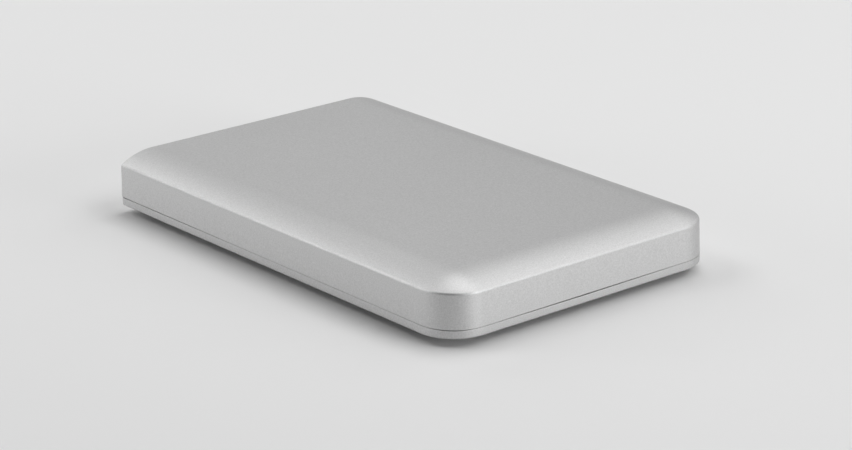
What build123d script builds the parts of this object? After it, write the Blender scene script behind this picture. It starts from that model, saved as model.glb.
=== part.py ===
from build123d import *
import os
from math import acos, asin, cos, degrees, radians, sin, sqrt

# Portable hard drive in a thin cast-metal case. Sizes in millimetres, angles in degrees.
# The drive is sized outward from its disc and head arm, and the case outward from the drive.

# Disc and shroud
disc_diameter = 65.0
disc_bore = 20.0
disc_thickness = 0.635
disc_clearance = 0.9
shroud_wall = 1.525

# Head arm: reach and swing about its pivot
pivot_distance = 41.5
pivot_offset = 19.0
head_reach = 36.0
park_gap = 1.5
head_clamp_gap = 1.4
hub_radius = 5.2
arm_tip_reach = 24.5
arm_tip_radius = 2.2
arm_thickness = 0.55
arm_floor_gap = 0.25
lightening_reach = 14.0
lightening_radius = 1.6
blade_root_reach = 22.6
blade_root_radius = 1.9
blade_tip_radius = 0.5
blade_thickness = 0.12
tab_length = 2.6
tab_width = 0.5
slider_length = 1.25
slider_width = 1.0
slider_thickness = 0.23
fly_gap = 0.2
pivot_shaft_radius = 1.95
pivot_running_gap = 0.05
bearing_radius = 3.6
bearing_seat_gap = 0.02
pivot_flange_radius = 2.6
pivot_flange_height = 0.2

# Voice coil motor
coil_offset_angle = 118.0
coil_hub_gap = 3.4
coil_outer = 16.0
coil_half_angle = 20.0
coil_winding = 2.0
coil_thickness = 0.9
coil_corner = 0.7
coil_frame_gap = 0.05
frame_wall = 0.9
magnet_gap = 0.3
magnet_thickness = 0.75
magnet_edge_angle = 6.0
magnet_plate_thickness = 0.75
plate_half_angle = 34.0
plate_hub_gap = 2.6
plate_post_gap = 0.9
plate_post_radius = 0.9
plate_margin = 1.1
plate_cover_gap = 0.2325
stop_radius = 1.0
stop_gap = 0.3
stop_height = 3.2

# Load ramp
ramp_disc_gap = 0.4
ramp_overrun = 5.0
ramp_tab_gap = 0.1
ramp_tab_clearance = 0.5
ramp_slider_gap = 0.275
ramp_foot_length = 4.8
ramp_foot_height = 2.6
ramp_screw_radius = 0.6
ramp_screw_head = 1.1
ramp_screw_head_height = 0.5
ramp_column_gap = 0.3
ramp_wall_gap = 2.2

# Drive base, boards and cover
chamber_rear_gap = 0.5
chamber_side_gap = 1.01
rail_wall = 4.4
chamber_corner = 3.0
chamber_rear_wall = 1.6
connector_end_gap = 1.1
connector_cut_height = 5.3
base_corner = 2.5
base_floor = 0.5
board_recess = 0.35
logic_board_thickness = 0.8
board_wing = 5.4
logic_board_front = 18.5
logic_board_rear_gap = 4.4
board_edge_gap = 0.4
ear_radius = 3.2
chip_height = 0.5
chip_clearance = 0.1
column_inset = 1.8
column_rise = 2.5
column_radius = 2.6
corner_screw_inset = 3.4
gasket_thickness = 0.3
gasket_width = 2.0
gasket_inset = 0.3
cover_thickness = 0.6
cover_inset = 0.4
cover_press_depth = 0.15
cover_press_radius = 28.0
cover_screw_radius = 0.75
cover_screw_head = 1.5
cover_screw_head_height = 0.4
cover_screw_length = 3.0
screw_gap = 0.05
screw_sides = 16
board_screw_radius = 0.7
board_screw_head = 1.4
board_screw_head_height = 0.3
board_screw_bite = 1.2
mount_hole_radius = 1.25
mount_hole_depth = 1.4
mount_hole_inset = 4.065
side_hole_depth = 2.8
side_hole_height = 3.0
mount_hole_rear = 14.0
mount_hole_front = 9.6

# Spindle motor
well_gap = 0.7
well_floor = 0.7
spindle_running_gap = 0.03
sleeve_radius = 3.3
sleeve_top_gap = 0.3
sleeve_seat_gap = 0.03
boss_wall = 0.7
ledge_width = 1.1
ledge_height = 0.7
stator_seat_gap = 0.03
stator_ring = 1.2
stator_air_gap = 0.55
stator_stack = 0.9
tooth_count = 9
tooth_width = 1.5
tooth_shoe = 0.6
tooth_shoe_width = 4.2
coil_pack = 0.25
shaft_radius = 1.5
hub_fit_gap = 0.05
hub_seat = 2.2
hub_flange_thickness = 0.6
hub_skirt_wall = 1.4
hub_skirt_lift = 0.5
rotor_magnet_wall = 1.0
rotor_magnet_height = 1.3
hub_top_lift = 0.3
clamp_reach = 1.6
clamp_lip = 1.0
clamp_web = 0.25
clamp_bore = 1.8
clamp_screw_count = 4
clamp_screw_circle = 6.2
clamp_screw_radius = 0.5
clamp_screw_head = 0.95
clamp_screw_head_height = 0.3
clamp_screw_bite = 0.8

# Flex cable, filters
flex_thickness = 0.2
flex_width = 1.6
flex_hub_gap = 0.4
flex_angle = 20.0
flex_bracket_size = (10.0, 8.0, 2.4)
flex_bracket_reach = 19.0
desiccant_size = (10.0, 7.5, 3.0)
desiccant_inset = (8.0, 2.0)
filter_size = (6.4, 1.4, 2.8)
filter_inset = (4.4, 17.0)
filter_angle = -35.0

# Case shell and cover
shell_wall = 1.2
cover_floor = 1.0
foot_stand = 1.9
front_gap = 2.2
side_gap = 2.875
bay_length = 15.2
lower_pad_height = 1.75
upper_pad_height = 1.55
shoulder_width = 9.1
shoulder_angle = 31.0
top_corner_radius = 0.1
wall_draft = 0.24
crease_radius = 0.6
seam_height = 2.03
seam_gap = 0.2
lower_edge_radius = 0.4
rear_edge_break = 0.4
rear_corner_radius = 0.8
lip_thickness = 0.7
lip_height = 0.5
lip_clearance = 0.1
hook_width = 6.0
hook_depth = 0.5
hook_height = 0.6
hook_clearance = 0.15
hook_spacing = 36.0

# Feet and case screws
foot_diameter = 8.0
foot_recess = 0.55
foot_clearance = 0.15
foot_edge_break = 0.2
foot_inset_x = 8.0
foot_inset_y = 11.5
case_screw_radius = 0.8
case_screw_head = 1.6
case_screw_countersink = 0.8
case_screw_length = 5.5
case_boss_radius = 2.6
cover_boss_radius = 3.0
cover_boss_height = 1.0
boss_gap = 0.05

# Drive seating
lower_pad_size = (6.0, 14.0)
lower_pad_inset = 4.0
lower_pad_spacing = 46.0
lower_pad_rear = 34.4
upper_pad_size = (10.0, 10.0)
upper_pad_edge_gap = 1.56
upper_pad_rear = 14.1
bumper_gap = 0.235
bumper_length = 8.0
bumper_height = 4.4
stud_radius = 1.15
stud_length = 2.3
front_bumper_size = (30.0, 4.0)
front_bumper_gap = 0.2
stop_rib_width = 4.0
stop_rib_thickness = 1.2
stop_rib_gap = 0.3
stop_rib_inset = 8.9
stop_rib_height = 3.0

# Serial connector between drive and bridge board
tongue_height = 3.2
tongue_thickness = 1.2
signal_width = 10.4
power_width = 20.6
tongue_spacing = 2.4
tongue_length = 4.3
tongue_setback = 0.28
plug_overhang = 0.4
plug_body_depth = 2.2
plug_body_height = 3.4
plug_wall_gap = 0.6
receptacle_end = 3.3
receptacle_height = 3.4
receptacle_gap = 0.2
receptacle_seat = 2.3
slot_clearance = 0.15
slot_end_gap = 0.3
contact_pitch = 1.27
contact_width = 0.6
contact_thickness = 0.06
signal_contacts = 7
power_contacts = 15

# Bridge board and what it carries
bridge_boss_gap = 1.1
bridge_board_thickness = 1.0
rib_board_gap = 0.6
bridge_board_lip_gap = 0.4
bridge_screw_inset = (3.8, 3.6)
bridge_screw_radius = 0.75
bridge_screw_head = 1.5
bridge_screw_head_height = 0.6
bridge_screw_length = 1.8
bridge_post_radius = 2.2
bridge_chip_size = (6.0, 6.0, 0.8)
bridge_chip_place = (-13.5, 7.0)
flash_chip_size = (5.0, 4.0, 0.7)
flash_chip_place = (15.6, 5.6)
crystal_size = (3.2, 2.5, 0.7)
crystal_place = (-19.6, 6.0)
inductor_size = (3.6, 3.6, 1.8)
inductor_place = (21.4, 4.6)
capacitor_size = (1.0, 0.5, 0.5)
capacitor_count = 6
capacitor_pitch = 2.5
capacitor_place = (-6.25, 4.6)
controller_size = (9.0, 9.0)
controller_place = (6.0, 20.0)
motor_driver_size = (6.0, 6.0)
motor_driver_place = (-12.0, 30.0)
cache_size = (8.0, 6.0)
cache_place = (-12.0, 16.0)

# Port and status light in the rear wall
usb_main_width = 6.9
usb_side_width = 4.7
usb_web = 0.7
usb_height = 1.85
usb_chamfer = 0.6
usb_wall = 0.3
usb_depth = 6.6
usb_back = 1.8
usb_fit = 0.05
tongue_margin = 1.1
usb_tongue_thickness = 0.6
usb_tongue_drop = 0.25
usb_tongue_setback = 0.8
usb_contact_count = 5
usb_contact_pitch = 0.65
usb_side_pitch = 0.5
usb_contact_width = 0.25
usb_contact_thickness = 0.1
port_clearance = 0.2
light_spacing = 5.85
light_radius = 0.9
light_fit = 0.05
light_lift = 0.15
light_flange_radius = 1.5
light_flange_thickness = 0.6
led_size = (2.0, 1.0, 1.6)
led_gap = 0.2
led_setback = 5.4

# Cutting tools run this far past the faces that they open
overcut = 1.0

# Heights of the drive, from the surface that the case stands on
under_z = foot_stand
inner_floor_z = under_z + cover_floor
drive_z = inner_floor_z + lower_pad_height
board_z = drive_z + board_recess
board_top_z = board_z + logic_board_thickness
base_floor_low_z = board_top_z + chip_height + chip_clearance
chamber_z = base_floor_low_z + base_floor
lower_arm_z = chamber_z + arm_floor_gap
lower_blade_z = lower_arm_z + arm_thickness
lower_slider_z = lower_blade_z + blade_thickness
disc_z = lower_slider_z + slider_thickness + fly_gap
disc_top_z = disc_z + disc_thickness
upper_slider_z = disc_top_z + fly_gap
upper_blade_z = upper_slider_z + slider_thickness
upper_arm_z = upper_blade_z + blade_thickness
arm_top_z = upper_arm_z + arm_thickness
coil_z = (disc_z + disc_top_z - coil_thickness) / 2
coil_top_z = coil_z + coil_thickness
magnet_z = coil_top_z + magnet_gap
upper_plate_z = magnet_z + magnet_thickness
cover_z = upper_plate_z + magnet_plate_thickness + plate_cover_gap
rim_z = cover_z - gasket_thickness
drive_top_z = cover_z + cover_thickness
ceiling_z = drive_top_z + upper_pad_height
top_z = ceiling_z + shell_wall

# Radii of the disc, its hub and its motor
disc_radius = disc_diameter / 2
shroud_radius = disc_radius + disc_clearance
clamp_radius = disc_bore / 2 + clamp_reach
hub_flange_radius = disc_bore / 2 + hub_seat
well_radius = hub_flange_radius + well_gap
rotor_radius = hub_flange_radius - hub_skirt_wall - hub_fit_gap
stator_radius = rotor_radius - rotor_magnet_wall - stator_air_gap
sleeve_bore = shaft_radius + spindle_running_gap
boss_radius = sleeve_radius + boss_wall
ledge_radius = boss_radius + ledge_width

# Swing of the head arm, measured about the pivot from +X
disc_bearing = -degrees(acos(pivot_offset / pivot_distance))


def bearing(reach, radius):
    """Direction from the pivot to the place at this reach that lies this far from the disc's centre."""
    square = pivot_distance ** 2 + reach ** 2 - radius ** 2
    return disc_bearing + degrees(acos(square / (2 * pivot_distance * reach)))


parked_angle = bearing(head_reach, disc_radius + park_gap)
inner_angle = bearing(head_reach, clamp_radius + head_clamp_gap)
coil_angle = parked_angle + coil_offset_angle
coil_inner_angle = inner_angle + coil_offset_angle
magnet_angle = (coil_angle + coil_inner_angle) / 2

# Reaches of the coil motor from the pivot
coil_inner = hub_radius + coil_hub_gap
coil_middle = (coil_inner + coil_outer) / 2
plate_inner = hub_radius + plate_hub_gap
plate_post_reach = coil_outer + plate_post_gap + plate_post_radius
plate_outer = plate_post_reach + plate_margin

# Load ramp: reaches from the pivot, and the directions between which it carries the lifting tabs
tab_reach = head_reach + tab_length
ramp_inner = head_reach + slider_length / 2 + ramp_slider_gap
ramp_root = tab_reach + ramp_tab_clearance
ramp_end = ramp_root + ramp_foot_length
ramp_first_angle = bearing(ramp_inner, disc_radius + ramp_disc_gap)
ramp_last_angle = parked_angle + ramp_overrun
ramp_angle = (ramp_first_angle + ramp_last_angle) / 2
ramp_half_angle = (ramp_last_angle - ramp_first_angle) / 2

# Plan of the drive and the case
plate_side = -plate_outer * cos(radians(magnet_angle + plate_half_angle))
chamber_half_width = max(
    pivot_offset + plate_side + chamber_side_gap,
    ramp_end - pivot_offset + ramp_column_gap + column_radius + column_inset,
)
drive_half_width = max(shroud_radius + shroud_wall, chamber_half_width + rail_wall)
pivot_rise = sqrt(pivot_distance ** 2 - pivot_offset ** 2)
chamber_reach = plate_outer + chamber_rear_gap
connector_depth = plug_wall_gap + plug_body_depth + tongue_length + tongue_setback
drive_length = drive_half_width + pivot_rise + chamber_reach + chamber_rear_wall + connector_depth
case_width = 2 * (drive_half_width + side_gap + shell_wall)
case_length = drive_length + front_gap + bay_length + 2 * shell_wall
front_y = -case_length / 2
rear_y = case_length / 2
drive_front_y = front_y + shell_wall + front_gap
disc_y = drive_front_y + drive_half_width
pivot_x = -pivot_offset
pivot_y = disc_y + pivot_rise
chamber_front_y = pivot_y + ramp_end * sin(radians(ramp_first_angle)) - ramp_wall_gap
chamber_rear_y = pivot_y + chamber_reach
connector_y = chamber_rear_y + chamber_rear_wall
drive_rear_y = drive_front_y + drive_length
column_x = chamber_half_width - column_inset
column_y = chamber_front_y + column_rise

# Widths of the serial connector and the boards
tongue_span = signal_width + tongue_spacing + power_width
receptacle_half_width = tongue_span / 2 + receptacle_end
plug_half_width = receptacle_half_width + plug_overhang
connector_half_width = plug_half_width + connector_end_gap
logic_board_half_width = connector_half_width + board_wing
bridge_board_half_width = case_width / 2 - foot_inset_x - case_boss_radius - bridge_boss_gap

# Shoulder and seam of the case
shoulder_radius = shoulder_width / sin(radians(shoulder_angle))
crease_z = top_z - shoulder_radius * (1 - cos(radians(shoulder_angle)))
corner_radius = top_corner_radius + shoulder_width + wall_draft
corner_x = case_width / 2 - corner_radius
corner_y = front_y + corner_radius
seam_z = under_z + seam_height
shell_low_z = seam_z + seam_gap / 2
cover_rim_z = seam_z - seam_gap / 2
lip_z = seam_z + lip_height
lip_outset = shell_wall + lip_clearance
lip_inset = lip_outset + lip_thickness

# Screw and foot places
foot_places = [
    (side * (case_width / 2 - foot_inset_x), end * (case_length / 2 - foot_inset_y))
    for side in (-1, 1)
    for end in (-1, 1)
]
case_screw_places = [place for place in foot_places if place[1] > 0]
column_places = [(side * column_x, column_y) for side in (-1, 1)]
corner_x_drive = drive_half_width - corner_screw_inset
cover_screw_places = column_places + [
    (side * corner_x_drive, y)
    for side in (-1, 1)
    for y in (drive_front_y + corner_screw_inset, drive_rear_y - corner_screw_inset)
]
rear_board_screw_x = (connector_half_width + logic_board_half_width) / 2
logic_board_rear_y = drive_rear_y - logic_board_rear_gap
board_screw_places = column_places + [
    (side * rear_board_screw_x, logic_board_rear_y - ear_radius / 2) for side in (-1, 1)
]
mount_hole_ys = [drive_rear_y - mount_hole_rear, drive_front_y + mount_hole_front]

# Serial connector and bridge board
tongue_z = drive_z + tongue_height - tongue_thickness / 2
tongue_y = connector_y + plug_wall_gap + plug_body_depth
bridge_top_z = drive_z + tongue_height - receptacle_height / 2
bridge_z = bridge_top_z - bridge_board_thickness
bridge_front_y = drive_rear_y + stop_rib_gap + stop_rib_thickness + rib_board_gap
bridge_rear_y = rear_y - lip_inset - bridge_board_lip_gap
bridge_screw_places = [
    (side * (bridge_board_half_width - bridge_screw_inset[0]), bridge_rear_y - bridge_screw_inset[1])
    for side in (-1, 1)
]
tongue_centres = [
    (-tongue_span / 2 + signal_width / 2, signal_width, signal_contacts),
    (tongue_span / 2 - power_width / 2, power_width, power_contacts),
]
usb_z = bridge_top_z + usb_wall + usb_height / 2
usb_span = usb_main_width + usb_web + usb_side_width
usb_centres = [
    (-usb_span / 2 + usb_main_width / 2, usb_main_width, usb_contact_pitch),
    (usb_span / 2 - usb_side_width / 2, usb_side_width, usb_side_pitch),
]
light_x = usb_span / 2 + light_spacing
light_z = bridge_top_z + light_lift + light_radius


def block(x, y, z):
    """Box between pairs of coordinates."""
    size = Box(x[1] - x[0], y[1] - y[0], z[1] - z[0], align=(Align.MIN, Align.MIN, Align.MIN))
    return Pos(x[0], y[0], z[0]) * size


def pad(place, size, low_z):
    """Box centred on a place in plan, standing on a height."""
    return Pos(place[0], place[1], low_z) * Box(*size, align=(Align.CENTER, Align.CENTER, Align.MIN))


def post(place, z, radius):
    """Upright cylinder between two heights."""
    rod = Cylinder(radius, z[1] - z[0], align=(Align.CENTER, Align.CENTER, Align.MIN))
    return Pos(place[0], place[1], z[0]) * rod


def plate(outline, z):
    """Flat outline raised between two heights."""
    return Pos(0, 0, z[0]) * extrude(outline, z[1] - z[0])


def lengthwise(section, y):
    """Cross section run along the case between two places."""
    return Pos(0, y[0], 0) * extrude(Plane.XZ * section, y[1] - y[0], dir=(0, 1, 0))


def small_rod(place, z, radius):
    """Upright many-sided rod between two heights, light enough for the many small screws."""
    return Pos(place[0], place[1]) * plate(RegularPolygon(radius, screw_sides), z)


def screw(place, head_z, head_radius, head_height, tip_z, radius):
    """Cheese-head screw: the head stands on head_z and the shank reaches to tip_z."""
    head = small_rod(place, (head_z, head_z + head_height), head_radius)
    return head + small_rod(place, (tip_z, head_z), radius)


def ring_sector(inner, outer, mid_angle, half_angle):
    """Part of a flat ring about the pivot."""
    start = mid_angle - half_angle
    outside = CenterArc((0, 0), outer, start, 2 * half_angle)
    inside = CenterArc((0, 0), inner, start, 2 * half_angle)
    ends = [Line(outside @ 0, inside @ 0), Line(outside @ 1, inside @ 1)]
    return make_face([outside, inside] + ends)


def at_pivot(outline, z):
    """Outline drawn about the pivot, raised between two heights."""
    return Pos(pivot_x, pivot_y) * plate(outline, z)


def from_pivot(reach, angle):
    """Place at a reach and direction from the pivot."""
    return (pivot_x + reach * cos(radians(angle)), pivot_y + reach * sin(radians(angle)))


def skin_profile(inset, low_z):
    """Half section of the case from its front corner's axis out, inset from the outer skin."""
    radius = shoulder_radius - inset
    centre_z = top_z - shoulder_radius
    lean = wall_draft / (crease_z - seam_z)
    wall_u = corner_radius - inset
    run = wall_u - top_corner_radius
    rise = seam_z - centre_z
    square = 1 + lean ** 2
    half = rise - lean * run
    height = (-half + sqrt(half ** 2 - square * (run ** 2 + rise ** 2 - radius ** 2))) / square
    crease = (wall_u - lean * height, seam_z + height)
    turn = asin((crease[0] - top_corner_radius) / radius) / 2
    middle = (top_corner_radius + radius * sin(turn), centre_z + radius * cos(turn))
    foot = (wall_u - lean * (low_z - seam_z), low_z)
    tangent = (top_corner_radius, top_z - inset)
    edges = [
        Line(foot, crease),
        ThreePointArc(crease, middle, tangent),
        Polyline(tangent, (0, top_z - inset), (0, low_z), foot),
    ]
    profile = make_face(edges)
    if inset < crease_radius:
        corner = profile.vertices().sort_by_distance((crease[0], crease[1], 0))[0]
        profile = fillet(corner, crease_radius - inset)
    return Plane.XZ * profile


def skin(inset, low_z, end_y):
    """Case form with the shoulder round both sides and the front, cut off flat at the rear."""
    profile = skin_profile(inset, low_z)
    section = Pos(corner_x, corner_y) * profile
    side = extrude(section, end_y - corner_y, dir=(0, 1, 0))
    corner = revolve(section, Axis((corner_x, corner_y, 0), (0, 0, -1)), 90)
    front = Pos(-corner_x, corner_y) * Rot(0, 0, -90) * profile
    nose = extrude(front, 2 * corner_x, dir=(1, 0, 0))
    core = block((-corner_x, corner_x), (corner_y, end_y), (low_z, top_z - inset))
    half = side + corner
    return half + mirror(half, Plane.YZ) + nose + core


def case_outline(inset):
    """Plan of the case at the seam, with rounded front corners."""
    outline = Rectangle(case_width - 2 * inset, case_length - 2 * inset)
    outline = fillet(outline.vertices().group_by(Axis.Y)[0], corner_radius - inset)
    return fillet(outline.vertices().group_by(Axis.Y)[-1], rear_corner_radius)


def usb_outline(grow):
    """Opening of the port: a main bay and a side bay joined along the top."""
    bays = Sketch()
    for x, width, _ in usb_centres:
        bay = Rectangle(width, usb_height)
        bays += Pos(x, 0) * chamfer(bay.vertices().group_by(Axis.Y)[0], usb_chamfer)
    seam_x = -usb_span / 2 + usb_main_width + usb_web / 2
    bays += Pos(seam_x, usb_height / 4) * Rectangle(usb_web + usb_chamfer, usb_height / 2)
    if grow:
        bays = offset(bays, grow, kind=Kind.INTERSECTION)
    return Pos(0, usb_z) * bays


def top_shell():
    body = skin(0, shell_low_z, rear_y)
    rear_edges = body.faces().sort_by(Axis.Y)[-1].edges().sort_by(Axis.Z)[1:]
    body = fillet(rear_edges, rear_edge_break)
    body -= skin(shell_wall, shell_low_z - overcut, rear_y - shell_wall)
    core = skin(shell_wall / 2, shell_low_z, rear_y - shell_wall / 2)
    low = inner_floor_z + cover_boss_height + boss_gap
    pilot = case_screw_radius + screw_gap
    tip = under_z + foot_recess + case_screw_length + boss_gap
    for place in case_screw_places:
        body += post(place, (low, top_z), case_boss_radius) & core
        body -= post(place, (low - overcut, tip), pilot)
    wall = (rear_y - shell_wall - overcut, rear_y + overcut)
    body -= lengthwise(usb_outline(usb_wall + port_clearance), wall)
    body -= lengthwise(Pos(light_x, light_z) * Circle(light_radius + light_fit), wall)
    for x, y, z in hook_boxes(hook_clearance):
        body -= block(x, y, z)
    return body


def hook_boxes(grow):
    """Catches on the front of the cover's lip, with the room that they need in the shell."""
    tip_y = front_y + lip_outset - hook_depth - grow
    half = hook_width / 2 + grow
    boxes = []
    for x in (-hook_spacing / 2, hook_spacing / 2):
        across = (x - half, x + half)
        boxes.append((across, (tip_y, front_y + lip_inset), (lip_z - hook_height - grow, lip_z + grow)))
    return boxes


def bottom_cover():
    tray = plate(case_outline(0), (under_z, cover_rim_z))
    tray = fillet(tray.faces().sort_by(Axis.Z)[0].edges(), lower_edge_radius)
    tray += plate(case_outline(lip_outset), (inner_floor_z, lip_z))
    tray -= plate(case_outline(lip_inset), (inner_floor_z, lip_z + overcut))
    for x, y, z in hook_boxes(0):
        tray += block(x, (y[0], front_y + lip_inset), z)
    recess_z = under_z + foot_recess
    for place in foot_places:
        tray -= post(place, (under_z - overcut, recess_z), foot_diameter / 2 + foot_clearance)
    for place in case_screw_places:
        tray += post(place, (inner_floor_z, inner_floor_z + cover_boss_height), cover_boss_radius)
        tray -= case_screw(place, screw_gap)
    for place in bridge_screw_places:
        tray += post(place, (inner_floor_z, bridge_z), bridge_post_radius)
        tray -= post(place, (bridge_z - bridge_screw_length, bridge_z), bridge_screw_radius + screw_gap)
    rib_y = drive_rear_y + stop_rib_gap
    for side in (-1, 1):
        place = (side * (drive_half_width - stop_rib_inset), rib_y + stop_rib_thickness / 2)
        height = drive_z + stop_rib_height - inner_floor_z
        tray += pad(place, (stop_rib_width, stop_rib_thickness, height), inner_floor_z)
    return tray


def rubber_feet():
    feet = []
    for place in foot_places:
        foot = post(place, (0, under_z + foot_recess), foot_diameter / 2)
        feet.append(chamfer(foot.edges().sort_by(Axis.Z)[0], foot_edge_break))
    return feet


def case_screw(place, grow):
    """Countersunk screw driven up from the foot recess."""
    head_z = under_z + foot_recess
    head = Cone(
        case_screw_head + grow,
        case_screw_radius + grow,
        case_screw_countersink,
        align=(Align.CENTER, Align.CENTER, Align.MIN),
    )
    shank = post(place, (head_z, head_z + case_screw_length), case_screw_radius + grow)
    return Pos(place[0], place[1], head_z) * head + shank


def case_screws():
    return [case_screw(place, 0) for place in case_screw_places]


def light_pipe():
    rod = Pos(light_x, light_z) * Circle(light_radius)
    flange = Pos(light_x, light_z) * Circle(light_flange_radius)
    inner_wall_y = rear_y - shell_wall
    body = lengthwise(rod, (rear_y - led_setback + led_gap, rear_y))
    return body + lengthwise(flange, (inner_wall_y - light_flange_thickness, inner_wall_y))


def lower_pads():
    x = drive_half_width - lower_pad_inset
    rear = drive_rear_y - lower_pad_rear
    size = (*lower_pad_size, lower_pad_height)
    return [
        pad((side * x, y), size, inner_floor_z)
        for side in (-1, 1)
        for y in (rear, rear - lower_pad_spacing)
    ]


def upper_pads():
    width, depth = upper_pad_size
    x = corner_x - upper_pad_edge_gap - width / 2
    front = corner_y + upper_pad_edge_gap + depth / 2
    return [
        pad((side * x, y), (width, depth, upper_pad_height), drive_top_z)
        for side in (-1, 1)
        for y in (front, drive_rear_y - upper_pad_rear)
    ]


def side_bumpers():
    bumpers = []
    z = drive_z + side_hole_height
    thickness = side_gap - wall_draft - bumper_gap
    for side in (-1, 1):
        for y in mount_hole_ys:
            face = Pos(side * drive_half_width, y, z)
            body = Pos(side * thickness / 2) * Box(thickness, bumper_length, bumper_height)
            stud = Pos(-side * stud_length / 2) * Rot(0, 90, 0) * Cylinder(stud_radius, stud_length)
            bumpers.append(face * (body + stud))
    return bumpers


def front_bumper():
    width, height = front_bumper_size
    thickness = front_gap - front_bumper_gap
    z = (drive_z + drive_top_z - height) / 2
    return pad((0, drive_front_y - thickness / 2), (width, thickness, height), z)


def bridge_board():
    half = bridge_board_half_width
    board = block((-half, half), (bridge_front_y, bridge_rear_y), (bridge_z, bridge_top_z))
    for place in bridge_screw_places:
        hole = (bridge_z - overcut, bridge_top_z + overcut)
        board -= post(place, hole, bridge_screw_radius + screw_gap)
    return board


def bridge_board_screws():
    tip = bridge_z - bridge_screw_length
    return [
        screw(place, bridge_top_z, bridge_screw_head, bridge_screw_head_height, tip, bridge_screw_radius)
        for place in bridge_screw_places
    ]


def usb_shell():
    depth = (rear_y - usb_depth, rear_y)
    return lengthwise(usb_outline(usb_wall), depth) - lengthwise(usb_outline(0), depth)


def usb_tongue_z():
    """Lower face of the port's tongues."""
    return usb_z + usb_height / 2 - usb_tongue_drop - usb_tongue_thickness


def usb_insulator():
    back_y = rear_y - usb_depth
    body = lengthwise(usb_outline(-usb_fit), (back_y, back_y + usb_back))
    low = usb_tongue_z()
    for x, width, _ in usb_centres:
        half = width / 2 - tongue_margin
        tongue_y_span = (back_y + usb_back, rear_y - usb_tongue_setback)
        body += block((x - half, x + half), tongue_y_span, (low, low + usb_tongue_thickness))
    return body


def usb_contacts():
    high = usb_tongue_z()
    back_y = rear_y - usb_depth + usb_back
    strips = []
    for x, _, pitch in usb_centres:
        for index in range(usb_contact_count):
            centre = x + (index - (usb_contact_count - 1) / 2) * pitch
            across = (centre - usb_contact_width / 2, centre + usb_contact_width / 2)
            along = (back_y, rear_y - usb_tongue_setback - usb_contact_width)
            strips.append(block(across, along, (high - usb_contact_thickness, high)))
    return strips


def contact_strips(y, z):
    """One strip for each way of the two tongues."""
    strips = []
    for x, _, count in tongue_centres:
        for index in range(count):
            centre = x + (index - (count - 1) / 2) * contact_pitch
            strips.append(block((centre - contact_width / 2, centre + contact_width / 2), y, z))
    return strips


def sata_plug():
    half = plug_half_width
    body_y = (tongue_y - plug_body_depth, tongue_y)
    body = block((-half, half), body_y, (board_top_z, board_top_z + plug_body_height))
    for x, width, _ in tongue_centres:
        across = (x - width / 2, x + width / 2)
        along = (tongue_y, tongue_y + tongue_length)
        body += block(across, along, (tongue_z, tongue_z + tongue_thickness))
    return body


def plug_contacts():
    high = tongue_z + tongue_thickness
    along = (tongue_y, tongue_y + tongue_length - slot_end_gap)
    return contact_strips(along, (high, high + contact_thickness))


def sata_receptacle():
    half = receptacle_half_width
    front = tongue_y + receptacle_gap
    high = bridge_top_z + receptacle_height
    body = block((-half, half), (front, bridge_front_y + receptacle_seat), (bridge_top_z, high))
    for x, width, _ in tongue_centres:
        across = (x - width / 2 - slot_clearance, x + width / 2 + slot_clearance)
        along = (front - overcut, tongue_y + tongue_length + slot_end_gap)
        upright = (tongue_z - slot_clearance, tongue_z + tongue_thickness + slot_clearance)
        body -= block(across, along, upright)
    return body


def receptacle_contacts():
    high = tongue_z + tongue_thickness + slot_clearance
    along = (tongue_y + receptacle_gap, tongue_y + tongue_length + slot_end_gap)
    return contact_strips(along, (high - contact_thickness, high))


def on_bridge_board(place, size):
    """Component standing on the bridge board, placed from the middle of its front edge."""
    return pad((place[0], bridge_front_y + place[1]), size, bridge_top_z)


def bridge_chip():
    return on_bridge_board(bridge_chip_place, bridge_chip_size)


def flash_chip():
    return on_bridge_board(flash_chip_place, flash_chip_size)


def clock_crystal():
    return on_bridge_board(crystal_place, crystal_size)


def power_inductor():
    return on_bridge_board(inductor_place, inductor_size)


def capacitors():
    start, y = capacitor_place
    return [
        on_bridge_board((start + index * capacitor_pitch, y), capacitor_size)
        for index in range(capacitor_count)
    ]


def status_led():
    return pad((light_x, rear_y - led_setback - led_size[1] / 2), led_size, bridge_top_z)


def chamber_outline(grow):
    """Room for the disc and the head arm, less the columns of the side screws."""
    length = chamber_rear_y - chamber_front_y
    room = Rectangle(2 * (chamber_half_width + grow), length + 2 * grow)
    room = fillet(room.vertices(), chamber_corner + grow)
    outline = Pos(0, chamber_rear_y - length / 2) * room
    outline += Pos(0, disc_y) * Circle(shroud_radius + grow)
    for place in column_places:
        outline -= Pos(*place) * Circle(column_radius - grow)
    return outline


def logic_board_outline(grow):
    """Plan of the drive's own board, with an ear at each column."""
    low = disc_y + logic_board_front - grow
    length = logic_board_rear_y + grow - low
    middle = Pos(0, low + length / 2) * Rectangle(2 * (logic_board_half_width + grow), length)
    width = 2 * (ear_radius + grow)
    return middle + Pos(0, column_y) * SlotCenterToCenter(2 * column_x, width)


def drive_base():
    half = drive_half_width
    body = block((-half, half), (drive_front_y, drive_rear_y), (drive_z, rim_z))
    body = fillet(body.edges().filter_by(Axis.Z), base_corner)
    body -= plate(chamber_outline(0), (chamber_z, rim_z + overcut))
    body -= plate(logic_board_outline(board_edge_gap), (drive_z - overcut, base_floor_low_z))
    cut = (-connector_half_width, connector_half_width)
    body -= block(cut, (connector_y, drive_rear_y + overcut), (drive_z - overcut, drive_z + connector_cut_height))
    body = motor_well(body)
    for place in board_screw_places:
        body += post(place, (board_top_z, base_floor_low_z), board_screw_head)
        body -= post(place, (board_top_z, base_floor_low_z + board_screw_bite), board_screw_radius + screw_gap)
    for place in cover_screw_places:
        body -= post(place, (rim_z - cover_screw_length, rim_z + overcut), cover_screw_radius + screw_gap)
    return mount_holes(body)


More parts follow.
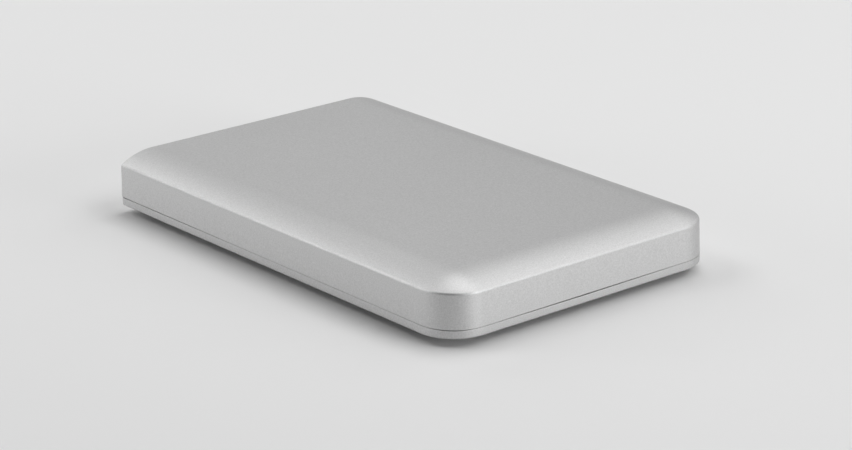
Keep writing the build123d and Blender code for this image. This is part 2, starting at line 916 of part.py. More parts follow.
def motor_well(body):
    """Round well under the disc with a boss for the bearing sleeve and a ledge for the stator."""
    centre = (0, disc_y)
    floor = drive_z + well_floor
    body -= post(centre, (floor, chamber_z + overcut), well_radius)
    body += post(centre, (floor, floor + ledge_height), ledge_radius)
    body += post(centre, (floor, floor + ledge_height + stator_stack), boss_radius)
    return body - post(centre, (floor, chamber_z + overcut), sleeve_radius + sleeve_seat_gap)


def mount_holes(body):
    """Four threaded holes in the underside and two in each side."""
    for side in (-1, 1):
        for y in mount_hole_ys:
            place = (side * (drive_half_width - mount_hole_inset), y)
            body -= post(place, (drive_z - overcut, drive_z + mount_hole_depth), mount_hole_radius)
            depth = side_hole_depth + overcut
            drill = Rot(0, 90, 0) * Cylinder(mount_hole_radius, depth)
            x = side * (drive_half_width - side_hole_depth + depth / 2)
            body -= Pos(x, y, drive_z + side_hole_height) * drill
    return body


def drive_cover():
    half = drive_half_width - cover_inset
    span = (drive_front_y + cover_inset, drive_rear_y - cover_inset)
    body = block((-half, half), span, (cover_z, drive_top_z))
    body = fillet(body.edges().filter_by(Axis.Z), base_corner)
    body -= post((0, disc_y), (drive_top_z - cover_press_depth, drive_top_z + overcut), cover_press_radius)
    for place in cover_screw_places:
        body -= post(place, (cover_z - overcut, drive_top_z), cover_screw_radius + screw_gap)
        seat = drive_top_z - cover_screw_head_height
        body -= post(place, (seat, drive_top_z + overcut), cover_screw_head + screw_gap)
    return body


def cover_gasket():
    half = drive_half_width - gasket_inset
    length = drive_length - 2 * gasket_inset
    edge = Pos(0, (drive_front_y + drive_rear_y) / 2) * Rectangle(2 * half, length)
    ring = (chamber_outline(gasket_inset + gasket_width) & edge) - chamber_outline(gasket_inset)
    body = plate(ring, (rim_z, cover_z))
    for place in cover_screw_places:
        body -= post(place, (rim_z - overcut, cover_z + overcut), cover_screw_radius + gasket_inset)
    return body


def cover_screws():
    seat = drive_top_z - cover_screw_head_height
    return [
        screw(place, seat, cover_screw_head, cover_screw_head_height, rim_z - cover_screw_length, cover_screw_radius)
        for place in cover_screw_places
    ]


def logic_board():
    body = plate(logic_board_outline(0), (board_z, board_top_z))
    for place in board_screw_places:
        body -= post(place, (board_z - overcut, board_top_z + overcut), board_screw_radius + screw_gap)
    return body


def logic_board_screws():
    screws = []
    tip = base_floor_low_z + board_screw_bite
    for place in board_screw_places:
        head = small_rod(place, (board_z - board_screw_head_height, board_z), board_screw_head)
        screws.append(head + small_rod(place, (board_z, tip), board_screw_radius))
    return screws


def on_logic_board(place, size):
    """Chip on the inner face of the drive's board, placed from the middle of its front edge."""
    front = disc_y + logic_board_front
    return pad((place[0], front + place[1]), (*size, chip_height), board_top_z)


def controller_chip():
    return on_logic_board(controller_place, controller_size)


def motor_driver_chip():
    return on_logic_board(motor_driver_place, motor_driver_size)


def cache_chip():
    return on_logic_board(cache_place, cache_size)


def spindle_sleeve():
    floor = drive_z + well_floor
    top = disc_z - hub_flange_thickness - sleeve_top_gap
    return post((0, disc_y), (floor, top), sleeve_radius) - post((0, disc_y), (floor, top), sleeve_bore)


def stator_low_z():
    """Height of the ledge that the stator stands on."""
    return drive_z + well_floor + ledge_height


def around_spindle(solid, index):
    """Solid drawn about the spindle, turned to one tooth's place."""
    return Pos(0, disc_y) * Rot(0, 0, index * 360 / tooth_count) * solid


def stator_core():
    z = (stator_low_z(), stator_low_z() + stator_stack)
    inner = boss_radius + stator_seat_gap
    body = post((0, disc_y), z, inner + stator_ring)
    stem = block((inner, stator_radius - tooth_shoe / 2), (-tooth_width / 2, tooth_width / 2), z)
    shoe = block((stator_radius - tooth_shoe, stator_radius), (-tooth_shoe_width / 2, tooth_shoe_width / 2), z)
    for index in range(tooth_count):
        body += around_spindle(stem + shoe, index)
    return body - post((0, disc_y), z, inner)


def stator_coils():
    low = stator_low_z()
    start = boss_radius + stator_seat_gap + stator_ring + coil_pack
    end = stator_radius - tooth_shoe - coil_pack
    half = tooth_width / 2 + screw_gap
    winding = block(
        (start, end),
        (-half - coil_pack, half + coil_pack),
        (low - coil_pack, low + stator_stack + coil_pack),
    )
    winding -= block((start, end), (-half, half), (low - screw_gap, low + stator_stack + screw_gap))
    return [around_spindle(winding, index) for index in range(tooth_count)]


def spindle_hub():
    low = drive_z + well_floor + hub_skirt_lift
    web_z = disc_z - hub_flange_thickness
    top = disc_top_z + hub_top_lift
    skirt_inner = hub_flange_radius - hub_skirt_wall
    profile = make_face(
        Polyline(
            (0, low),
            (shaft_radius, low),
            (shaft_radius, web_z),
            (skirt_inner, web_z),
            (skirt_inner, low),
            (hub_flange_radius, low),
            (hub_flange_radius, disc_z),
            (disc_bore / 2 - hub_fit_gap, disc_z),
            (disc_bore / 2 - hub_fit_gap, top),
            (0, top),
            close=True,
        )
    )
    body = Pos(0, disc_y) * revolve(Plane.XZ * profile, Axis.Z)
    for place in clamp_screw_places():
        body -= post(place, (top - clamp_screw_bite, top + overcut), clamp_screw_radius + screw_gap)
    return body


def clamp_screw_places():
    step = 360 / clamp_screw_count
    angles = [radians(index * step) for index in range(clamp_screw_count)]
    return [(clamp_screw_circle * cos(angle), disc_y + clamp_screw_circle * sin(angle)) for angle in angles]


def rotor_magnet():
    low = disc_z - hub_flange_thickness - rotor_magnet_height
    z = (low, low + rotor_magnet_height)
    return post((0, disc_y), z, rotor_radius) - post((0, disc_y), z, rotor_radius - rotor_magnet_wall)


def platter():
    z = (disc_z, disc_top_z)
    return post((0, disc_y), z, disc_radius) - post((0, disc_y), z, disc_bore / 2)


def disc_clamp():
    web_z = disc_top_z + hub_top_lift
    body = post((0, disc_y), (disc_top_z, web_z + clamp_web), clamp_radius)
    body -= post((0, disc_y), (disc_top_z, web_z), clamp_radius - clamp_lip)
    body -= post((0, disc_y), (disc_top_z, web_z + clamp_web), clamp_bore)
    for place in clamp_screw_places():
        body -= post(place, (web_z - overcut, web_z + overcut), clamp_screw_radius + screw_gap)
    return body


def clamp_screws():
    seat = disc_top_z + hub_top_lift + clamp_web
    tip = disc_top_z + hub_top_lift - clamp_screw_bite
    return [
        screw(place, seat, clamp_screw_head, clamp_screw_head_height, tip, clamp_screw_radius)
        for place in clamp_screw_places()
    ]


def pivot_shaft():
    flange = post((pivot_x, pivot_y), (chamber_z, chamber_z + pivot_flange_height), pivot_flange_radius)
    return flange + post((pivot_x, pivot_y), (chamber_z, cover_z), pivot_shaft_radius)


def pivot_bearing():
    z = (lower_arm_z, arm_top_z)
    bore = pivot_shaft_radius + pivot_running_gap
    return post((pivot_x, pivot_y), z, bearing_radius) - post((pivot_x, pivot_y), z, bore)


def tapered(root_reach, root_radius, tip_reach, tip_radius):
    """Outline that tapers from one round end to another along the arm."""
    ends = Sketch() + [Pos(root_reach, 0) * Circle(root_radius), Pos(tip_reach, 0) * Circle(tip_radius)]
    return Rot(0, 0, parked_angle) * make_hull(ends.edges())


def actuator_arm():
    arm = tapered(0, hub_radius, arm_tip_reach, arm_tip_radius)
    arm -= Rot(0, 0, parked_angle) * Pos(lightening_reach, 0) * Circle(lightening_radius)
    body = at_pivot(Circle(hub_radius), (lower_arm_z, arm_top_z))
    body += at_pivot(arm, (lower_arm_z, lower_blade_z))
    body += at_pivot(arm, (upper_arm_z, arm_top_z))
    wall_angle = degrees(frame_wall / coil_outer)
    gap_angle = degrees(coil_frame_gap / coil_inner)
    room_angle = coil_half_angle + gap_angle
    frame = ring_sector(hub_radius - frame_wall, coil_outer, coil_angle, room_angle + wall_angle)
    frame -= ring_sector(coil_inner - coil_frame_gap, coil_outer + frame_wall, coil_angle, room_angle)
    body += at_pivot(frame, (coil_z, coil_top_z))
    return body - at_pivot(Circle(bearing_radius + bearing_seat_gap), (lower_arm_z, arm_top_z))


def voice_coil():
    outside = fillet(ring_sector(coil_inner, coil_outer, coil_angle, coil_half_angle).vertices(), coil_corner)
    window_angle = coil_half_angle - degrees(coil_winding / coil_middle)
    window = ring_sector(coil_inner + coil_winding, coil_outer - coil_winding, coil_angle, window_angle)
    return at_pivot(outside - window, (coil_z, coil_top_z))


def suspensions():
    blade = tapered(blade_root_reach, blade_root_radius, head_reach, blade_tip_radius)
    tab = Pos((head_reach + tab_reach) / 2, 0) * Rectangle(tab_reach - head_reach, tab_width)
    blade += Rot(0, 0, parked_angle) * tab
    return [at_pivot(blade, (low, low + blade_thickness)) for low in (lower_blade_z, upper_blade_z)]


def head_sliders():
    slider = Rot(0, 0, parked_angle) * Pos(head_reach, 0) * Rectangle(slider_length, slider_width)
    return [at_pivot(slider, (low, low + slider_thickness)) for low in (lower_slider_z, upper_slider_z)]


def plate_outline():
    """Plan of a magnet plate, out to its posts."""
    return ring_sector(plate_inner, plate_outer, magnet_angle, plate_half_angle)


def lower_magnet_plate():
    return at_pivot(plate_outline(), (chamber_z, chamber_z + magnet_plate_thickness))


def upper_magnet_plate():
    return at_pivot(plate_outline(), (upper_plate_z, upper_plate_z + magnet_plate_thickness))


def coil_magnet():
    outline = ring_sector(coil_inner, coil_outer, magnet_angle, plate_half_angle - magnet_edge_angle)
    return at_pivot(outline, (magnet_z, upper_plate_z))


def plate_posts():
    edge_angle = plate_half_angle - degrees(plate_margin / plate_post_reach)
    z = (chamber_z + magnet_plate_thickness, upper_plate_z)
    return [
        post(from_pivot(plate_post_reach, magnet_angle + turn), z, plate_post_radius)
        for turn in (-edge_angle, 0, edge_angle)
    ]


def load_ramp():
    finger = ring_sector(ramp_inner, ramp_root + frame_wall, ramp_angle, ramp_half_angle)
    finger_z = (lower_slider_z + ramp_tab_gap, upper_blade_z - ramp_tab_gap)
    foot = ring_sector(ramp_root, ramp_end, ramp_angle, ramp_half_angle)
    body = at_pivot(finger, finger_z) + at_pivot(foot, (chamber_z, chamber_z + ramp_foot_height))
    hole = (chamber_z - overcut, chamber_z + ramp_foot_height + overcut)
    return body - post(ramp_screw_place(), hole, ramp_screw_radius + screw_gap)


def ramp_screw_place():
    return from_pivot((ramp_root + ramp_end) / 2, ramp_angle)


def ramp_screw():
    seat = chamber_z + ramp_foot_height
    return screw(
        ramp_screw_place(), seat, ramp_screw_head, ramp_screw_head_height, chamber_z, ramp_screw_radius
    )


def crash_stops():
    swing = coil_half_angle + degrees(coil_frame_gap / coil_inner + frame_wall / coil_outer)
    swing += degrees((stop_radius + stop_gap) / coil_middle)
    z = (chamber_z, chamber_z + stop_height)
    return [
        post(from_pivot(coil_middle, angle), z, stop_radius)
        for angle in (coil_angle + swing, coil_inner_angle - swing)
    ]


def flex_end():
    """Place where the flex cable's loop reaches its bracket."""
    return from_pivot(flex_bracket_reach, flex_angle)


def flex_cable():
    start = from_pivot(hub_radius + flex_hub_gap, flex_angle)
    end = flex_end()
    middle = ((start[0] + end[0]) / 2, (start[1] + end[1]) / 2 - flex_width / 2)
    strip = SlotArc(ThreePointArc(start, middle, end), flex_thickness)
    low = (disc_z + disc_top_z - flex_width) / 2
    return plate(strip, (low, low + flex_width))


def flex_bracket():
    x, y = flex_end()
    width, depth, height = flex_bracket_size
    return pad((x + width / 2 + flex_thickness, y), (width, depth, height), chamber_z)


def recirculation_filter():
    place = Pos(chamber_half_width - filter_inset[0], chamber_rear_y - filter_inset[1])
    return place * Rot(0, 0, filter_angle) * pad((0, 0), filter_size, chamber_z)


def desiccant_pack():
    width, depth, _ = desiccant_size
    x = chamber_half_width - desiccant_inset[0] - width / 2
    y = chamber_rear_y - desiccant_inset[1] - depth / 2
    return pad((x, y), desiccant_size, chamber_z)


pieces = [
    top_shell, bottom_cover, rubber_feet, case_screws, light_pipe,
    lower_pads, upper_pads, side_bumpers, front_bumper,
    bridge_board, bridge_board_screws, usb_shell, usb_insulator, usb_contacts,
    sata_receptacle, receptacle_contacts, bridge_chip, flash_chip, clock_crystal,
    power_inductor, capacitors, status_led,
    drive_base, drive_cover, cover_gasket, cover_screws,
    logic_board, logic_board_screws, controller_chip, motor_driver_chip, cache_chip,
    sata_plug, plug_contacts,
    spindle_sleeve, stator_core, stator_coils, spindle_hub, rotor_magnet,
    platter, disc_clamp, clamp_screws,
    pivot_shaft, pivot_bearing, actuator_arm, voice_coil, suspensions, head_sliders,
    lower_magnet_plate, upper_magnet_plate, coil_magnet, plate_posts,
    load_ramp, ramp_screw, crash_stops, flex_cable, flex_bracket,
    recirculation_filter, desiccant_pack,
]

os.makedirs("parts", exist_ok=True)
for piece in pieces:
    made = piece()
    if isinstance(made, list):
        made = Compound(children=made)
    made.label = piece.__name__
    export_step(made, f"parts/{piece.__name__}.step")
    print(piece.__name__, round(made.volume, 3))
print("swing", round(parked_angle, 3), round(inner_angle, 3))
print("pivot", round(pivot_x, 3), round(pivot_y, 3), "disc", round(disc_y, 3))
print("case", round(case_width, 3), round(case_length, 3), round(top_z, 3), "crease", round(crease_z, 3))
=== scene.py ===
from math import atan2, cos, degrees, pi, radians, sin, tan

import bmesh
import bpy
from mathutils import Matrix, Vector


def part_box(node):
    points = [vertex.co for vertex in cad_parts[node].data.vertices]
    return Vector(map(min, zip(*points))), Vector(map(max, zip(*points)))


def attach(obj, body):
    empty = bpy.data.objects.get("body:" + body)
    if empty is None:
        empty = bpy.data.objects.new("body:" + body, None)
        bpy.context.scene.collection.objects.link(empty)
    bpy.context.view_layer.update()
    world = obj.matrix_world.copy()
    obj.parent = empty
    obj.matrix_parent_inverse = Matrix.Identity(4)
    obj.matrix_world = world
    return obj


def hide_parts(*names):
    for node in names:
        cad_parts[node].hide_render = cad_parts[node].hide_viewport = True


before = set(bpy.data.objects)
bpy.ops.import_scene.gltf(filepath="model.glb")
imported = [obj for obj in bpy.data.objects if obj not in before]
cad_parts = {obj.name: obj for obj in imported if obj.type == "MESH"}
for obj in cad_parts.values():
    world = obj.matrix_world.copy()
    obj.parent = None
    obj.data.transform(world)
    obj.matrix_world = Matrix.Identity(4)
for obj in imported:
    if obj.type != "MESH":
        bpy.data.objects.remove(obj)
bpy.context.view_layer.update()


# Bottom cover
# A shallow tray of cast aluminium, blasted to a fine matt grain and lacquered silver. It closes the
# case from below: its lip hooks into the shell at the front, and two screws hold it at the rear. Its
# rim is bowed a little, so the seam opens in mid-front, on the front corners and towards the rear.
MM = 0.001
weld = 0.001 * MM
square_on = 0.99999
upright_within = 0.5
cover_low, cover_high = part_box("bottom_cover")
cover_low_z = cover_low.z
case_half_width = cover_high.x
case_half_length = cover_high.y
shoulder_width = 9.1 * MM
wall_draft = 0.24 * MM
corner_radius = shoulder_width + wall_draft
corner_steps = 28
corner_y = corner_radius - case_half_length
flat_half_width = case_half_width - corner_radius
cover_height = 2.03 * MM
cover_thickness = 1.0 * MM
cover_floor_z = cover_low_z + cover_thickness
seam_gap = 0.04 * MM
seam_z = cover_low_z + cover_height
cover_rim_z = seam_z - seam_gap / 2
rim_break = 0.08 * MM
rim_ledge = 1.3 * MM
lip_thickness = 0.7 * MM
lip_height = 0.5 * MM
lip_z = seam_z + lip_height
lower_edge_radius = 0.4 * MM
rear_corner_radius = 0.8 * MM
round_steps = 6
break_steps = 2
front_sag = 0.165 * MM
corner_sag = 0.07 * MM
corner_sag_degrees = (28, 20, 12)
rear_sag = 0.08 * MM
rear_sag_start_y = 12 * MM
rear_sag_full_y = 42 * MM
sag_room = 0.32 * MM
case_smooth_angle = 32


def pick(piece, kind, wanted):
    """Selects, in edit mode, only the vertices, edges or faces that pass the test."""
    kinds = ("verts", "edges", "faces")
    bpy.context.tool_settings.mesh_select_mode = [kind == each for each in kinds]
    mesh = bmesh.from_edit_mesh(piece.data)
    for each in kinds:
        for part in getattr(mesh, each):
            part.select = False
    for part in getattr(mesh, kind):
        if wanted(part):
            part.select_set(True)
    bmesh.update_edit_mesh(piece.data)


def near(value, place):
    """The same place, but for rounding."""
    return abs(value - place) < weld


def both(edge, axis, place):
    """Both ends of the edge lie at this place on the axis."""
    return all(near(vert.co[axis], place) for vert in edge.verts)


def level(edge, axis):
    """The edge runs square to the axis."""
    return near(edge.verts[0].co[axis], edge.verts[1].co[axis])


def faces_out(face):
    """An upright face that looks away from the middle of the case."""
    return abs(face.normal.z) < upright_within and face.normal.xy.dot(face.calc_center_median().xy) > 0


def below_rim(face):
    """A face of the cover's outer wall, under its rim."""
    return faces_out(face) and face.calc_center_median().z < cover_rim_z


def on_rim(vert):
    """A vertex of the cover's rim, or of the small break along it, wherever the rim sags."""
    return cover_rim_z - sag_room < vert.co.z < cover_rim_z + weld


def off_corner(vert):
    """How many degrees the vertex is from the middle of its front corner."""
    return abs(degrees(atan2(corner_y - vert.co.y, abs(vert.co.x) - flat_half_width)) - 45)


def begin(name):
    """Names the primitive just added, puts its place into its mesh and opens it for editing."""
    piece = bpy.context.object
    piece.name = name
    piece.data.name = name
    bpy.ops.object.transform_apply(location=True, rotation=True, scale=True)
    bpy.ops.object.mode_set(mode="EDIT")
    return piece


def merge_close():
    """Merges doubled vertices and clears faces without size in the mesh being edited."""
    bpy.ops.mesh.select_all(action="SELECT")
    bpy.ops.mesh.remove_doubles(threshold=weld)
    bpy.ops.mesh.dissolve_degenerate(threshold=weld)


def slice_across(axis, place):
    """Adds a line of edges round the mesh being edited, square to the axis."""
    across = Vector((0, 0, 0))
    across[axis] = 1
    bpy.ops.mesh.select_all(action="SELECT")
    bpy.ops.mesh.bisect(plane_co=across * place, plane_no=across)


def cut(piece, tools):
    """Takes the tools' shapes out of the piece."""
    for tool in tools:
        knife = piece.modifiers.new("cut", "BOOLEAN")
        knife.operation = "DIFFERENCE"
        knife.solver = "EXACT"
        knife.object = tool
        bpy.context.view_layer.objects.active = piece
        bpy.ops.object.modifier_apply(modifier=knife.name)
        bpy.data.objects.remove(tool)


def close_up(piece, angle):
    """Smooth faces with normals weighted by area, so that flat walls stay flat beside their rounds."""
    bpy.ops.object.select_all(action="DESELECT")
    piece.select_set(True)
    bpy.context.view_layer.objects.active = piece
    bpy.ops.object.shade_smooth_by_angle(angle=radians(angle))
    weigh = piece.modifiers.new("weigh", "WEIGHTED_NORMAL")
    weigh.keep_sharp = True
    bpy.ops.object.modifier_apply(modifier=weigh.name)
    facing = [corner.vector.copy() for corner in piece.data.corner_normals]
    for face in piece.data.polygons:
        if max(abs(part) for part in face.normal) > square_on:
            for corner in face.loop_indices:
                facing[corner] = face.normal.copy()
    piece.data.normals_split_custom_set(facing)
    piece.select_set(False)


bpy.ops.object.select_all(action="DESELECT")
bpy.ops.mesh.primitive_cube_add(
    size=1,
    location=(0, 0, (cover_low_z + cover_rim_z) / 2),
    scale=(2 * case_half_width, 2 * case_half_length, cover_rim_z - cover_low_z),
)
cover = begin("case_cover")
pick(cover, "edges", lambda e: both(e, 1, -case_half_length) and level(e, 0))
bpy.ops.mesh.bevel(offset=corner_radius, segments=corner_steps, affect="EDGES")
pick(cover, "faces", lambda f: f.normal.z > square_on)
bpy.ops.mesh.inset(thickness=rim_ledge)
bpy.ops.mesh.extrude_region_move(TRANSFORM_OT_translate={"value": (0, 0, lip_z - cover_rim_z)})
bpy.ops.mesh.inset(thickness=lip_thickness)
bpy.ops.mesh.extrude_region_move(TRANSFORM_OT_translate={"value": (0, 0, cover_floor_z - lip_z)})
pick(cover, "edges", lambda e: both(e, 1, case_half_length) and level(e, 0))
bpy.ops.mesh.bevel(offset=rear_corner_radius, segments=round_steps, affect="EDGES")
pick(cover, "edges", lambda e: both(e, 2, cover_low_z))
bpy.ops.mesh.bevel(offset=lower_edge_radius, segments=round_steps, affect="EDGES")
pick(cover, "edges", lambda e: both(e, 2, cover_rim_z) and any(below_rim(f) for f in e.link_faces))
bpy.ops.mesh.bevel(offset=rim_break, segments=break_steps, affect="EDGES")
merge_close()
slice_across(0, 0)
slice_across(1, rear_sag_start_y)
slice_across(1, rear_sag_full_y)
pick(cover, "verts", lambda v: on_rim(v) and v.co.y > rear_sag_full_y - weld)
bpy.ops.transform.translate(value=(0, 0, -rear_sag))
pick(cover, "verts", lambda v: on_rim(v) and near(v.co.x, 0) and v.co.y < 0)
bpy.ops.transform.translate(value=(0, 0, -front_sag))
for reach in corner_sag_degrees:
    pick(cover, "verts", lambda v: on_rim(v) and off_corner(v) < reach)
    bpy.ops.transform.translate(value=(0, 0, -corner_sag / len(corner_sag_degrees)))
bpy.ops.object.mode_set(mode="OBJECT")

foot_radius = 4.0 * MM
foot_recess = 0.55 * MM
foot_clearance = 0.15 * MM
recess_tool_height = 4 * foot_recess
foot_sides = 64
foot_x = 31.0 * MM
foot_y = 48.5 * MM
foot_places = [(x, y) for x in (-foot_x, foot_x) for y in (-foot_y, foot_y)]
recesses = []
for spot in foot_places:
    bpy.ops.mesh.primitive_cylinder_add(
        vertices=foot_sides,
        radius=foot_radius + foot_clearance,
        depth=recess_tool_height,
        location=(*spot, cover_low_z + foot_recess - recess_tool_height / 2),
    )
    recesses.append(bpy.context.object)
cut(cover, recesses)
close_up(cover, case_smooth_angle)


def grain_group():
    """Node group: the fine pits of a blasted, cast or moulded surface, and a slow drift over it."""
    group = bpy.data.node_groups.new("fine_grain", "ShaderNodeTree")
    group.interface.new_socket("Place", in_out="INPUT", socket_type="NodeSocketVector")
    group.interface.new_socket("Fineness", in_out="INPUT", socket_type="NodeSocketFloat")
    group.interface.new_socket("Pits", in_out="OUTPUT", socket_type="NodeSocketFloat")
    group.interface.new_socket("Drift", in_out="OUTPUT", socket_type="NodeSocketFloat")
    nodes, links = group.nodes, group.links
    enter = nodes.new("NodeGroupInput")
    leave = nodes.new("NodeGroupOutput")
    pits = nodes.new("ShaderNodeTexNoise")
    pits.inputs["Detail"].default_value = 2.0
    pits.inputs["Roughness"].default_value = 0.6
    drift = nodes.new("ShaderNodeTexNoise")
    drift.inputs["Scale"].default_value = 45.0
    drift.inputs["Detail"].default_value = 2.0
    links.new(enter.outputs["Place"], pits.inputs["Vector"])
    links.new(enter.outputs["Fineness"], pits.inputs["Scale"])
    links.new(enter.outputs["Place"], drift.inputs["Vector"])
    links.new(pits.outputs["Fac"], leave.inputs["Pits"])
    links.new(drift.outputs["Fac"], leave.inputs["Drift"])
    return group


fine_grain = grain_group()
grain_depth = 0.02 * MM


def grey(tone):
    """A colour without hue."""
    return (tone, tone, tone)


def start_finish(name, metallic):
    """New node material: its tree, its shader and the place on the piece."""
    finish = bpy.data.materials.new(name)
    finish.use_nodes = True
    tree = finish.node_tree
    shader = tree.nodes["Principled BSDF"]
    shader.inputs["Metallic"].default_value = metallic
    place = tree.nodes.new("ShaderNodeTexCoord").outputs["Object"]
    return finish, tree, shader, place


def two_tones(tree, shader, mask, dark, light):
    """Colour that runs from dark to light with the mask."""
    tone = tree.nodes.new("ShaderNodeMix")
    tone.data_type = "RGBA"
    tone.inputs["A"].default_value = (*dark, 1)
    tone.inputs["B"].default_value = (*light, 1)
    tree.links.new(mask, tone.inputs["Factor"])
    tree.links.new(tone.outputs["Result"], shader.inputs["Base Color"])


def two_glosses(tree, shader, mask, roughness):
    """Roughness that runs between two values with the mask."""
    gloss = tree.nodes.new("ShaderNodeMapRange")
    gloss.inputs["To Min"].default_value = roughness[0]
    gloss.inputs["To Max"].default_value = roughness[1]
    tree.links.new(mask, gloss.inputs["Value"])
    tree.links.new(gloss.outputs["Result"], shader.inputs["Roughness"])


def relief(tree, shader, height, depth, strength):
    """Bump of this depth over the surface."""
    bump = tree.nodes.new("ShaderNodeBump")
    bump.inputs["Distance"].default_value = depth
    bump.inputs["Strength"].default_value = strength
    tree.links.new(height, bump.inputs["Height"])
    tree.links.new(bump.outputs["Normal"], shader.inputs["Normal"])


def grained(name, dark, light, roughness, fineness, bump, metallic=0.0):
    """Blasted, cast, moulded or pressed stuff with an even grain in its tone, gloss and relief."""
    finish, tree, shader, place = start_finish(name, metallic)
    grain = tree.nodes.new("ShaderNodeGroup")
    grain.node_tree = fine_grain
    grain.inputs["Fineness"].default_value = fineness
    tree.links.new(place, grain.inputs["Place"])
    two_tones(tree, shader, grain.outputs["Pits"], dark, light)
    two_glosses(tree, shader, grain.outputs["Drift"], roughness)
    relief(tree, shader, grain.outputs["Pits"], grain_depth, bump)
    return finish


case_metal = grained(
    "blasted_case_metal", grey(0.44), grey(0.69),
    roughness=(0.53, 0.57), fineness=3300, bump=0.12, metallic=1.0,
)
cover.data.materials.append(case_metal)
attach(cover, "case")
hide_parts("bottom_cover")

# Rubber feet
# Four round pads of soft black rubber, pressed into shallow seats in the cover. Each has a rounded
# edge and a slightly dished sole, so that it grips a desk.
foot_edge = 0.25 * MM
foot_edge_steps = 4
foot_smooth_angle = 40
sole_rim = 0.9 * MM
sole_dish = 0.12 * MM


def join(name, pieces):
    """Makes one object of several."""
    bpy.ops.object.select_all(action="DESELECT")
    for piece in pieces:
        piece.select_set(True)
    bpy.context.view_layer.objects.active = pieces[0]
    bpy.ops.object.join()
    pieces[0].name = name
    pieces[0].data.name = name
    return pieces[0]


pads = []
for spot in foot_places:
    bpy.ops.object.select_all(action="DESELECT")
    bpy.ops.mesh.primitive_cylinder_add(
        vertices=foot_sides,
        radius=foot_radius,
        depth=cover_low_z + foot_recess,
        location=(*spot, (cover_low_z + foot_recess) / 2),
    )
    pad = begin("foot")
    pick(pad, "edges", lambda e: both(e, 2, 0))
    bpy.ops.mesh.bevel(offset=foot_edge, segments=foot_edge_steps, affect="EDGES")
    pick(pad, "faces", lambda f: f.normal.z < -square_on and near(f.calc_center_median().z, 0))
    bpy.ops.mesh.inset(thickness=sole_rim)
    bpy.ops.mesh.inset(thickness=sole_dish)
    bpy.ops.transform.translate(value=(0, 0, sole_dish))
    bpy.ops.object.mode_set(mode="OBJECT")
    pads.append(pad)
feet = join("case_feet", pads)
close_up(feet, foot_smooth_angle)

black_rubber = grained(
    "black_rubber", grey(0.012), grey(0.03), roughness=(0.72, 0.9), fineness=2500, bump=0.35
)
feet.data.materials.append(black_rubber)
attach(feet, "case")
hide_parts("rubber_feet")

# Case screws
# Two countersunk screws of zinc-plated steel, driven up through the cover into the shell. They sit
# under the rear feet, which hide their heads.


def dress(finish, *names):
    """Gives CAD nodes their finish."""
    for name in names:
        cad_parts[name].material_slots[0].material = finish


zinc_steel = grained(
    "zinc_steel", (0.42, 0.42, 0.43), (0.55, 0.55, 0.54),
    roughness=(0.28, 0.42), fineness=1800, bump=0.15, metallic=1.0,
)
dress(zinc_steel, "case_screws")

# Foam pads and rubber bumpers
# Closed-cell foam pads carry the drive from below and above. Rubber bumpers with studs sit in the
# drive's side holes and keep it off the walls, and one more rests against the front wall.
dark_foam = grained(
    "dark_foam", (0.05, 0.05, 0.055), (0.13, 0.13, 0.14), roughness=(0.85, 1.0), fineness=1400, bump=0.9
)
dress(dark_foam, "lower_pads", "upper_pads")
dress(black_rubber, "side_bumpers", "front_bumper")

# Drive base
# The drive's body, die-cast in aluminium and machined where the disc, the arm and the motor sit. It
# lies between the foam pads, and the bumpers hold it sideways.
cast_alloy = grained(
    "cast_alloy", (0.42, 0.42, 0.43), (0.58, 0.58, 0.59),
    roughness=(0.35, 0.5), fineness=1500, bump=0.3, metallic=1.0,
)
dress(cast_alloy, "drive_base")

# Spindle motor
# A steel sleeve pressed into the base, a stack of thin steel laminations round it with a coil of
# enamelled wire on each tooth, and a bonded magnet ring in the skirt of the turned hub.
line_depth = 0.01 * MM
ridge_depth_by_pitch = 0.3
# A wave texture of scale 1 repeats at this length.
wave_length = pi / 10


def drawn(name, dark, light, roughness, lines, bump):
    """Metal with fine lines one way, as rolling, grinding or brushing leaves them: lines per axis."""
    finish, tree, shader, place = start_finish(name, 1.0)
    stretch = tree.nodes.new("ShaderNodeMapping")
    stretch.inputs["Scale"].default_value = lines
    tree.links.new(place, stretch.inputs["Vector"])
    marks = tree.nodes.new("ShaderNodeTexNoise")
    marks.inputs["Scale"].default_value = 1.0
    marks.inputs["Detail"].default_value = 3.0
    tree.links.new(stretch.outputs["Vector"], marks.inputs["Vector"])
    two_tones(tree, shader, marks.outputs["Fac"], dark, light)
    two_glosses(tree, shader, marks.outputs["Fac"], roughness)
    relief(tree, shader, marks.outputs["Fac"], line_depth, bump)
    return finish


def striped(name, dark, light, roughness, pitch, axis, bump, metallic):
    """Wire windings, stacked sheets or tracks: even ridges along one axis."""
    finish, tree, shader, place = start_finish(name, metallic)
    ridges = tree.nodes.new("ShaderNodeTexWave")
    ridges.bands_direction = axis
    ridges.inputs["Scale"].default_value = wave_length / pitch
    ridges.inputs["Distortion"].default_value = 0.4
    ridges.inputs["Detail"].default_value = 1.0
    tree.links.new(place, ridges.inputs["Vector"])
    two_tones(tree, shader, ridges.outputs["Fac"], dark, light)
    two_glosses(tree, shader, ridges.outputs["Fac"], roughness)
    relief(tree, shader, ridges.outputs["Fac"], ridge_depth_by_pitch * pitch, bump)
    return finish


